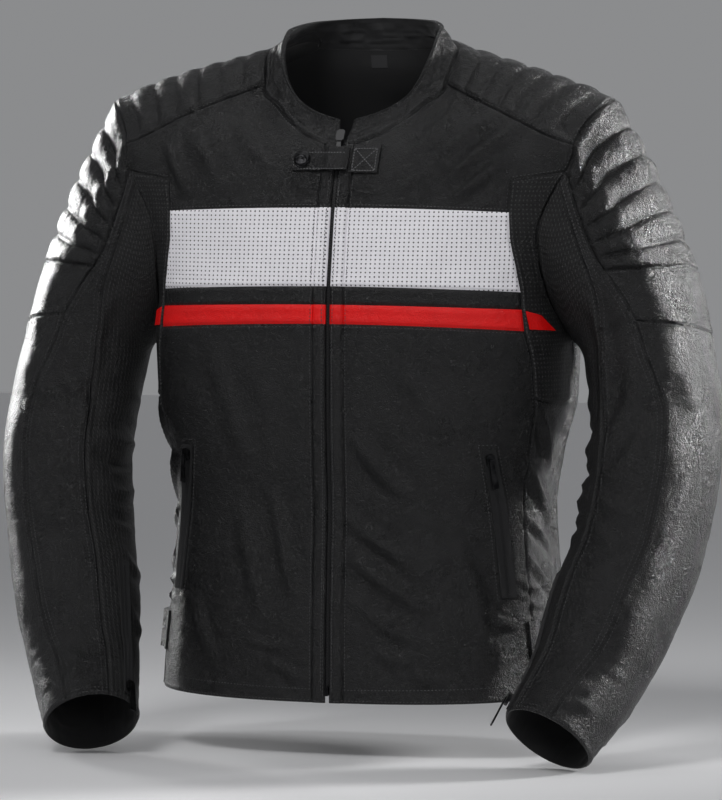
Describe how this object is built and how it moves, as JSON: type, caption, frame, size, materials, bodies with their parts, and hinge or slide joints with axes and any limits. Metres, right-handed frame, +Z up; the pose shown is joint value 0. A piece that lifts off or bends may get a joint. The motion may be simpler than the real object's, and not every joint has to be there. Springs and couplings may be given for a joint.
{
  "type": "leather motorcycle jacket",
  "caption": "Leather motorcycle jacket filled out as worn, with stand collar, ribbed padded shoulders and sleeves, chest band and stripe, and zips.",
  "frame": {"origin": "middle of the neck opening, where the wearer's shoulders and neck hold the jacket", "axes": "+Z up, front towards -Y, +X towards the wearer's left"},
  "size_m": [0.709, 0.3081, 0.6922],
  "materials": {
    "leather_black": "grained, semi-gloss",
    "leather_perforated": "perforated, semi-matte",
    "leather_white": "perforated, smooth",
    "leather_red": "smooth",
    "fabric_label": "woven",
    "zip_tape": "woven tape with plastic teeth",
    "metal_dark": "dark plated"
  },
  "bodies": {
    "jacket": {"armhole_mesh_l": "leather_perforated", "armhole_mesh_r": "leather_perforated", "back": "leather_black", "black_strip_l": "leather_black", "black_strip_r": "leather_black", "collar": "leather_black", "cuff_slider_l": "metal_dark", "cuff_slider_r": "metal_dark", "cuff_zip_l": "zip_tape", "cuff_zip_r": "zip_tape", "front_lower_l": "leather_black", "front_lower_r": "leather_black", "front_upper_l": "leather_black", "front_upper_r": "leather_black", "main_pull": "metal_dark", "main_slider": "metal_dark", "main_zip": "zip_tape", "neck_label": "fabric_label", "neck_strap": "leather_black", "pocket_slider_l": "metal_dark", "pocket_slider_r": "metal_dark", "pocket_zip_l": "zip_tape", "pocket_zip_r": "zip_tape", "red_stripe_l": "leather_red", "red_stripe_r": "leather_red", "side_panel_l": "leather_black", "side_panel_r": "leather_black", "sleeve_cap_l": "leather_black", "sleeve_cap_r": "leather_black", "sleeve_front_l": "leather_black", "sleeve_front_r": "leather_black", "sleeve_inner_l": "leather_perforated", "sleeve_inner_r": "leather_perforated", "sleeve_mid_l": "leather_black", "sleeve_mid_r": "leather_black", "sleeve_outer_l": "leather_black", "sleeve_outer_r": "leather_black", "snap_cap": "metal_dark", "strap_box": "leather_black", "stripe_tip_l": "leather_red", "stripe_tip_r": "leather_red", "waist_tab_l": "leather_black", "waist_tab_r": "leather_black", "white_band_l": "leather_white", "white_band_r": "leather_white", "yoke_l": "leather_black", "yoke_r": "leather_black", "zip_stop": "metal_dark"},
    "pocket_pull_l": {"pocket_pull_l": "metal_dark"},
    "pocket_pull_r": {"pocket_pull_r": "metal_dark"},
    "cuff_pull_l": {"cuff_pull_l": "metal_dark"},
    "cuff_pull_r": {"cuff_pull_r": "metal_dark"}
  },
  "joints": [
    {"name": "pocket_pull_swing_l", "type": "hinge", "parent": "jacket", "child": "pocket_pull_l", "pos_m": [0.15175, -0.09426, -0.34366], "axis": [-0.7983, -0.5662, -0.2052], "range_deg": [0, 120]},
    {"name": "pocket_pull_swing_r", "type": "hinge", "parent": "jacket", "child": "pocket_pull_r", "pos_m": [-0.15176, -0.09468, -0.34379], "axis": [-0.8205, 0.5351, 0.2011], "range_deg": [0, 120]},
    {"name": "cuff_pull_swing_l", "type": "hinge", "parent": "jacket", "child": "cuff_pull_l", "pos_m": [0.18232, -0.14962, -0.55711], "axis": [-0.4895, 0.7324, -0.4733], "range_deg": [0, 120]},
    {"name": "cuff_pull_swing_r", "type": "hinge", "parent": "jacket", "child": "cuff_pull_r", "pos_m": [-0.18237, -0.14966, -0.55709], "axis": [-0.497, -0.7302, 0.4688], "range_deg": [0, 120]}
  ]
}
